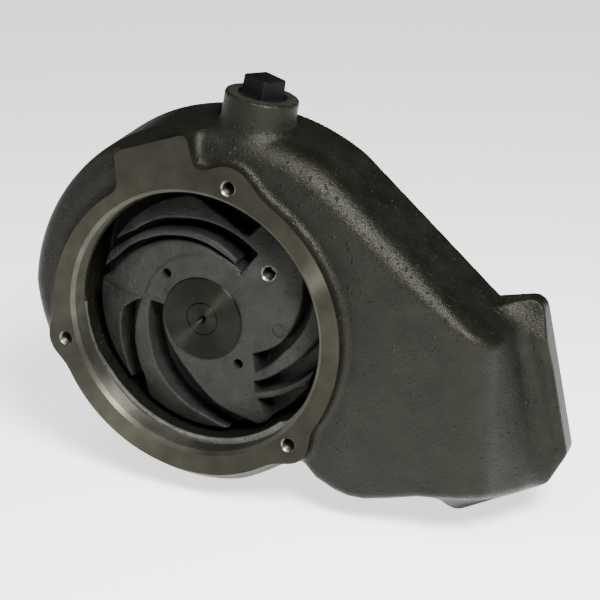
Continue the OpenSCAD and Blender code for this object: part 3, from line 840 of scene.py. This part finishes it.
def make_materials():
    """One material per slot name of the record, and more for turned and threaded faces, a lighter turned
    iron painted as a highlight on the bore wall, and a raw iron on the lip that is partly a painted
    highlight.
    """
    return {
        "cast_housing": cast_material("cast housing", (0.0022, 0.0022, 0.0014), (0.0060, 0.0060, 0.0045),
                                      (0.29, 0.45), 1.8, 0.14),
        "bare_iron": cast_material("bare iron", (0.07, 0.07, 0.065), (0.13, 0.13, 0.12),
                                   (0.4, 0.6), 0.6),
        "impeller_iron": cast_material("impeller iron", (0.0060, 0.0062, 0.0058),
                                       (0.0150, 0.0155, 0.0145), (0.38, 0.6), 1.8, 0.14),
        "black_steel": cast_material("black steel", (0.002, 0.002, 0.002), (0.004, 0.004, 0.004),
                                     (0.4, 0.6), 0.5, 0.06),
        # unpainted iron, lighter than the paint; used only on the lower lip, so partly a painted highlight
        "raw_iron_and_highlight": cast_material("raw iron and painted highlight", (0.022, 0.023, 0.021), (0.06, 0.06, 0.056),
                                  (0.42, 0.6), 2.4, 0.3),
        "steel": plain_material("steel", (0.42, 0.42, 0.43), 1.0, 0.32),
        "polished_steel": plain_material("polished steel", (0.62, 0.62, 0.64), 1.0, 0.16),
        "brass": plain_material("brass", (0.58, 0.42, 0.16), 1.0, 0.3),
        "rubber": plain_material("rubber", (0.012, 0.012, 0.012), 0.0, 0.6),
        "carbon": plain_material("carbon", (0.02, 0.02, 0.022), 0.0, 0.4),
        "ceramic": plain_material("ceramic", (0.75, 0.72, 0.65), 0.0, 0.2),
        "fibre": plain_material("fibre", (0.16, 0.13, 0.08), 0.0, 0.8),
        "thread_metal": plain_material("thread metal", (0.11, 0.11, 0.10), 1.0, 0.35),
        "turned_iron": turned_material("turned iron", (0.022, 0.021, 0.015), (0.036, 0.035, 0.025),
                                       0.55, 0.9),
        # lighter copy of the turned iron: a painted highlight on the bore wall
        "bore_wall_painted_highlight": turned_material("bore wall painted highlight", (0.045, 0.044, 0.034), (0.080, 0.078, 0.061),
                                      0.48, 0.9),
        "turned_hub": turned_material("turned hub", (0.007, 0.007, 0.005), (0.011, 0.011, 0.008),
                                      0.5, 0.9),
    }


def glowing_floor():
    """Pale floor lit from within, like a light table."""
    material, _, _, shader = new_material("pale floor", (0.86, 0.86, 0.86), 0.0, 0.8)
    shader.inputs["Emission Color"].default_value = (1, 1, 1, 1)
    shader.inputs["Emission Strength"].default_value = 1.5
    return material


# ---- stage ----

CAMERA_AZIMUTH = math.radians(23.44)
CAMERA_ELEVATION = math.radians(19.84)
CAMERA_DISTANCE = 0.93
CAMERA_LENS = 84.6
INLET_CENTRE = Vector((0, RING_Y * MM, 0))
PICTURE_OFFSET = (0.0717, 0.0174)      # from the inlet centre to the middle of the picture, right and up


def camera_axes():
    """Right, up and towards-the-camera directions."""
    a, e = CAMERA_AZIMUTH, CAMERA_ELEVATION
    right = Vector((math.cos(a), math.sin(a), 0))
    up = Vector((-math.sin(a) * math.sin(e), math.cos(a) * math.sin(e), math.cos(e)))
    return right, up, right.cross(up)


def add_camera():
    """Camera at the photograph's viewing angle."""
    right, up, back = camera_axes()
    data = bpy.data.cameras.new("camera")
    data.lens = CAMERA_LENS
    camera = link("camera", data)
    camera.matrix_world = Matrix((right, up, back)).transposed().to_4x4()
    camera.location = (INLET_CENTRE + right * PICTURE_OFFSET[0] + up * PICTURE_OFFSET[1]
                       + back * CAMERA_DISTANCE)
    bpy.context.scene.camera = camera


# Each light is (name, place, size, power in watts)
LIGHTS = (("key", (0.62, -0.62, 0.80), 0.35, 54), ("top", (-0.10, -0.55, 1.15), 0.6, 10),
          ("left", (-1.1, -0.10, 0.42), 0.5, 2), ("low front", (0.25, -1.3, -0.02), 0.5, 1.5))
LIGHT_AIM = Vector((0.04, -0.03, 0))
FLOOR_HALF = 4.0
FLOOR_GAP = 0.0002


def add_light(name, location, size, power):
    """Square area light aimed at the pump."""
    data = bpy.data.lights.new(name, "AREA")
    data.size = size
    data.energy = power
    lamp = link(name, data)
    lamp.location = location
    aim = LIGHT_AIM - Vector(location)
    lamp.rotation_euler = aim.to_track_quat("-Z", "Y").to_euler()


def add_stage(floor_z):
    """Pale floor, soft lights and a white surround."""
    mesh = bpy.data.meshes.new("floor")
    corners = [(x * FLOOR_HALF, y * FLOOR_HALF, floor_z) for x, y in ((-1, -1), (1, -1), (1, 1), (-1, 1))]
    mesh.from_pydata(corners, [], [(0, 1, 2, 3)])
    floor = link("floor", mesh)
    mesh.materials.append(glowing_floor())
    for light in LIGHTS:
        add_light(*light)
    world = bpy.data.worlds.new("surround")
    world.use_nodes = True
    background = world.node_tree.nodes["Background"]
    background.inputs["Color"].default_value = (1, 1, 1, 1)
    background.inputs["Strength"].default_value = 0.045
    bpy.context.scene.world = world


# ---- assembly ----

def dress_nodes(materials, slots):
    """Give every CAD node the material of its slot."""
    for node, obj in frame["nodes"].items():
        obj.data.materials.clear()
        obj.data.materials.append(materials[slots[node]])


def add_pieces(materials):
    """Build the visual pieces, each riding on its body in the place of its CAD node."""
    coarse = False
    pieces = (
        # housing slots: the raw iron on the lower lip is partly a painted highlight, and the lighter bore
        # wall is wholly one
        (build_housing(2.5 if coarse else 1.25), "volute_housing", "housing",
         ("cast_housing", "turned_iron", "thread_metal", "raw_iron_and_highlight", "bore_wall_painted_highlight"), paint_housing),
        (build_impeller(1.5 if coarse else 0.8), "impeller", "rotor",
         ("impeller_iron", "turned_hub", "thread_metal"), paint_impeller),
        (build_shaft(), "shaft", "rotor", ("steel", "turned_hub"), paint_shaft),
        (build_plug(), "pipe_plug", "housing", ("black_steel",), None),
    )
    for obj, node, body, names, paint in pieces:
        obj.data.materials.clear()
        for name in names:
            obj.data.materials.append(materials[name])
        if paint:
            paint(obj)
        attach(obj, body)
        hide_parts(node)


made_materials = make_materials()
node_slots = {s["node"]: s["material_slot"] for s in frame["record"]["subparts"]}
dress_nodes(made_materials, node_slots)
add_pieces(made_materials)
add_camera()
add_stage(cad_box[0][2] - FLOOR_GAP)
